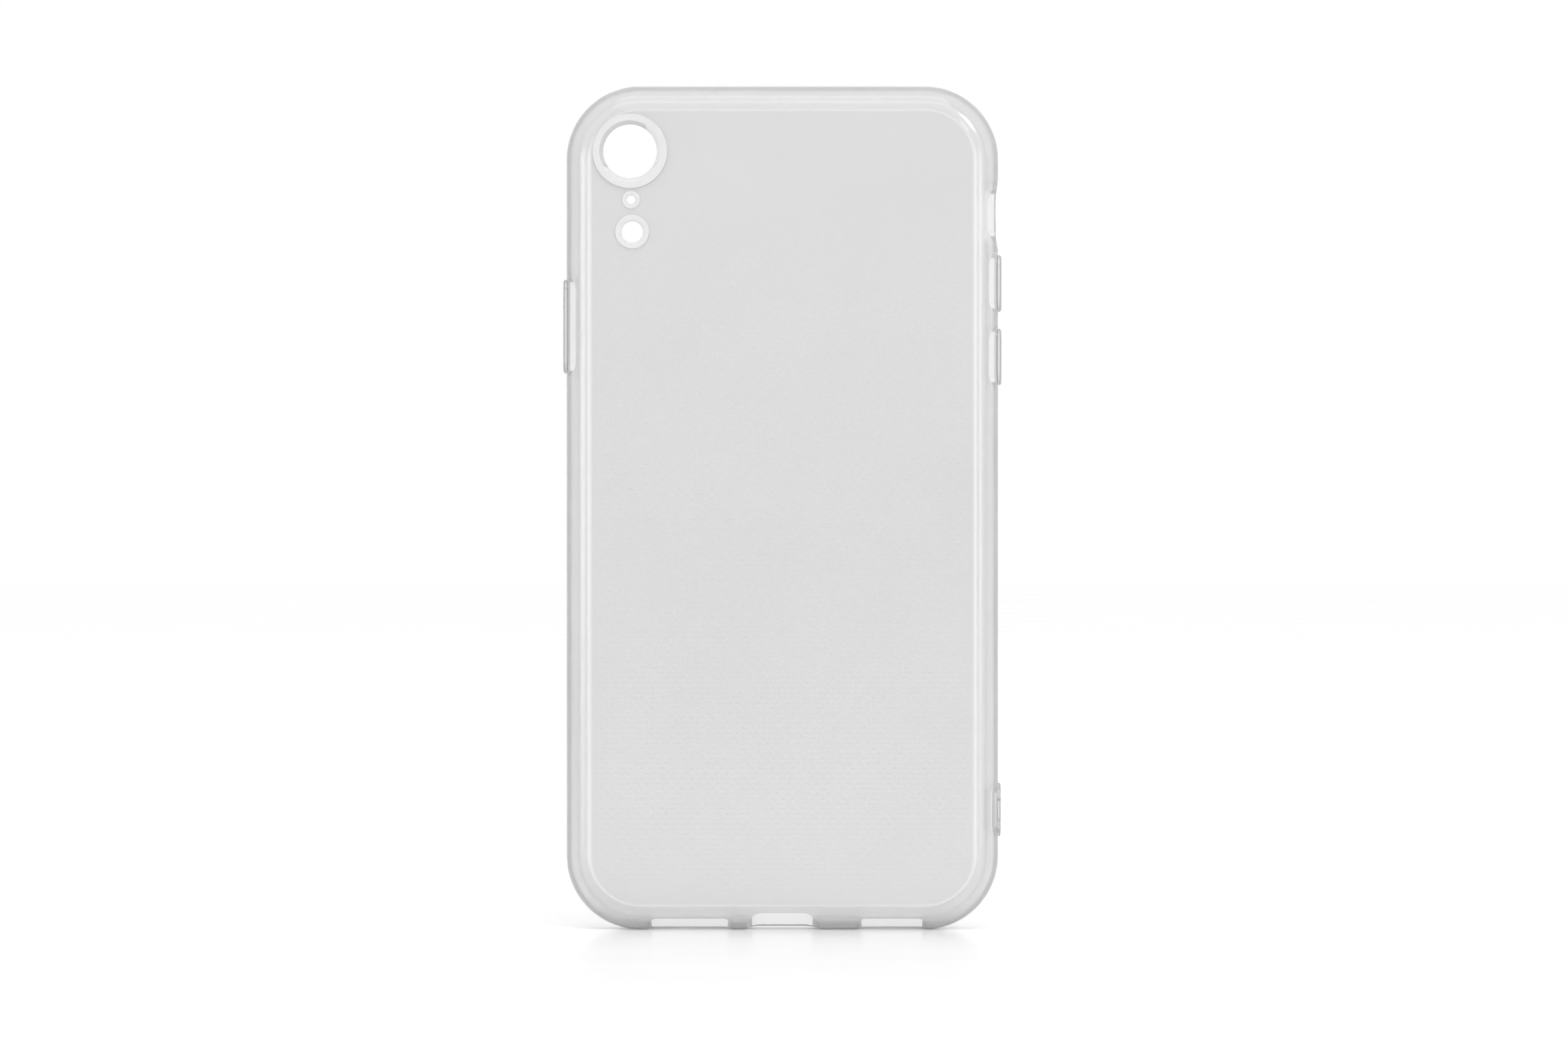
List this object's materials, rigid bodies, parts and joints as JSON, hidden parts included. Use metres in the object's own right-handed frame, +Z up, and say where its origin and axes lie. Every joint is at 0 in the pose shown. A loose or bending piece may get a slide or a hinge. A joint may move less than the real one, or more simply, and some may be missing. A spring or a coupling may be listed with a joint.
{
  "type": "phone case",
  "caption": "Clear soft phone case: a shallow tray with a gripping lip, raised camera rim, covered buttons, switch and port windows, and a wrist-strap anchor.",
  "frame": {"origin": "middle of the phone's seat, the flat inner face that the phone's back lies on", "axes": "+X to the right seen from behind, +Y from the seat out through the open front, +Z up along the case's length towards the camera hole"},
  "size_m": [0.08, 0.0111, 0.1542],
  "materials": {
    "clear_tpu": "glossy injection-moulded clear soft plastic with a faint milky haze",
    "clear_tpu_rim": "the same clear soft plastic, thicker at the raised rims and the strap anchor",
    "clear_tpu_thin": "the same clear soft plastic, thin enough to flex under a fingertip"
  },
  "bodies": {
    "case": {"shell": "clear_tpu", "strap_anchor": "clear_tpu_rim", "camera_rim": "clear_tpu_rim", "microphone_rim": "clear_tpu_rim", "flash_rim": "clear_tpu_rim", "side_button_web": "clear_tpu_thin", "volume_up_web": "clear_tpu_thin", "volume_down_web": "clear_tpu_thin"},
    "side_button": {"side_button_cover": "clear_tpu"},
    "volume_up": {"volume_up_cover": "clear_tpu"},
    "volume_down": {"volume_down_cover": "clear_tpu"}
  },
  "joints": [
    {"name": "side_button_press", "type": "slide", "parent": "case", "child": "side_button", "axis": [1, 0, 0], "range_m": [0, 0.0004], "stiffness_N_per_m": 2500, "deforming": ["side_button_web"]},
    {"name": "volume_up_press", "type": "slide", "parent": "case", "child": "volume_up", "axis": [-1, 0, 0], "range_m": [0, 0.0004], "stiffness_N_per_m": 2500, "deforming": ["volume_up_web"]},
    {"name": "volume_down_press", "type": "slide", "parent": "case", "child": "volume_down", "axis": [-1, 0, 0], "range_m": [0, 0.0004], "stiffness_N_per_m": 2500, "deforming": ["volume_down_web"]}
  ]
}
